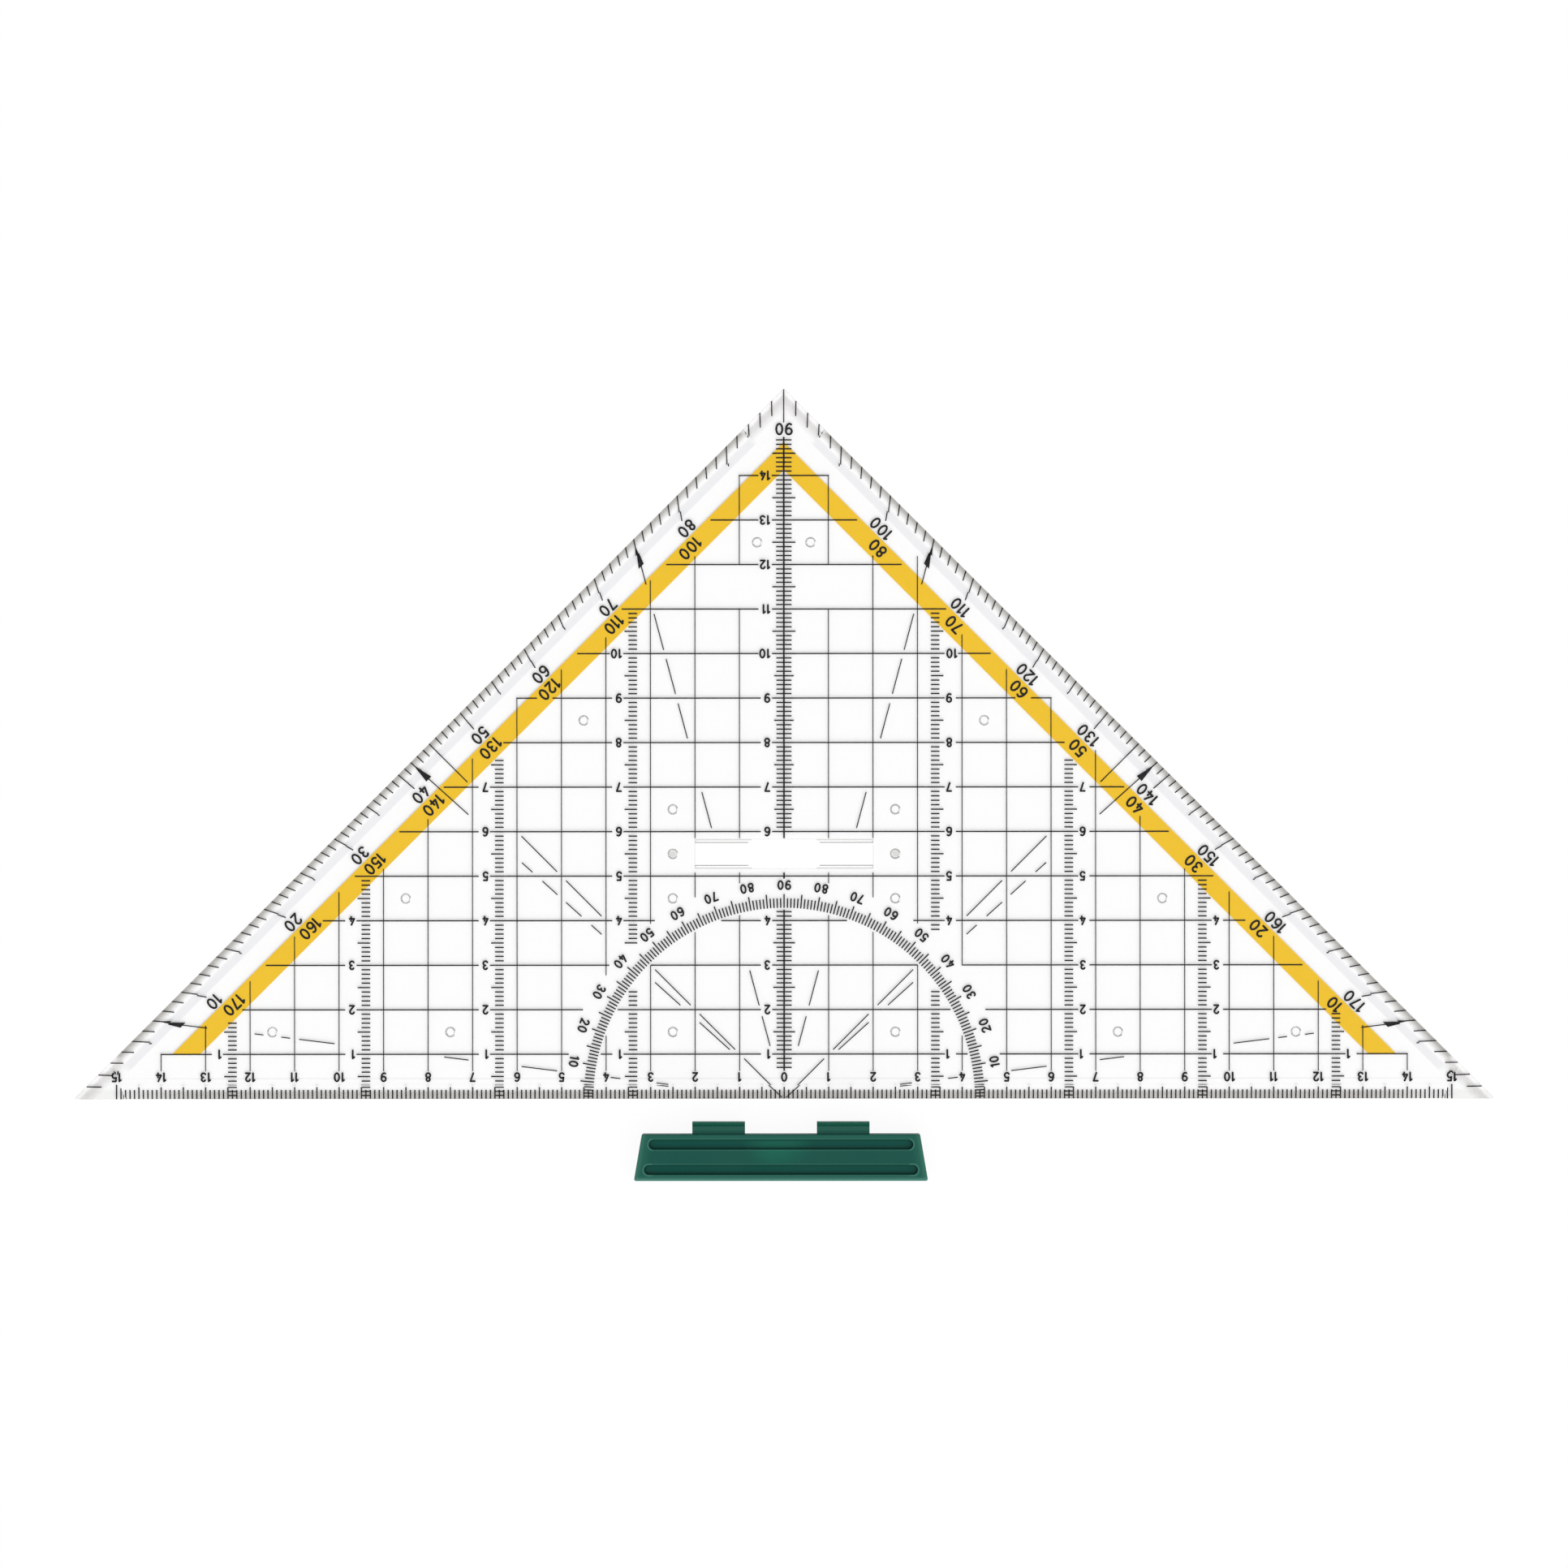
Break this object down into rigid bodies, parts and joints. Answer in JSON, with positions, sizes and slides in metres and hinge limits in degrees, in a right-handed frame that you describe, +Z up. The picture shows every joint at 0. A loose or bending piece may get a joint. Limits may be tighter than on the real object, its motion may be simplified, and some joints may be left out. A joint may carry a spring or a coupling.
{
  "type": "drafting triangle",
  "caption": "Large clear right-angled set square with bevelled edges, millimetre scales, protractor, centimetre grid and yellow band, and its green snap-in grip lying beside it.",
  "frame": {"origin": "the zero mark in the middle of the long edge, at the height of the drawing surface that the feet rest on", "axes": "+X along the long edge, +Y to the right-angled corner, +Z up out of the drawing surface"},
  "size_m": [0.3184, 0.1777, 0.006],
  "materials": {
    "clear_plastic": "polished clear moulding",
    "green_plastic": "satin moulding",
    "yellow_ink": "printed ink",
    "black_ink": "printed ink"
  },
  "bodies": {
    "set_square": {"plate": "clear_plastic", "yellow_band": "yellow_ink", "grid_print_1": "black_ink", "grid_print_2": "black_ink", "grid_print_3": "black_ink", "grid_print_4": "black_ink", "grid_print_5": "black_ink", "grid_print_6": "black_ink", "grid_print_7": "black_ink", "grid_print_8": "black_ink", "grid_print_9": "black_ink", "grid_print_10": "black_ink", "grid_print_11": "black_ink", "grid_print_12": "black_ink", "grid_print_13": "black_ink"},
    "grip": {"handle": "green_plastic"}
  },
  "joints": [
    {"name": "handle_lift", "type": "slide", "parent": "set_square", "child": "grip", "axis": [0, 0, 1], "range_m": [0, 0.04]}
  ]
}
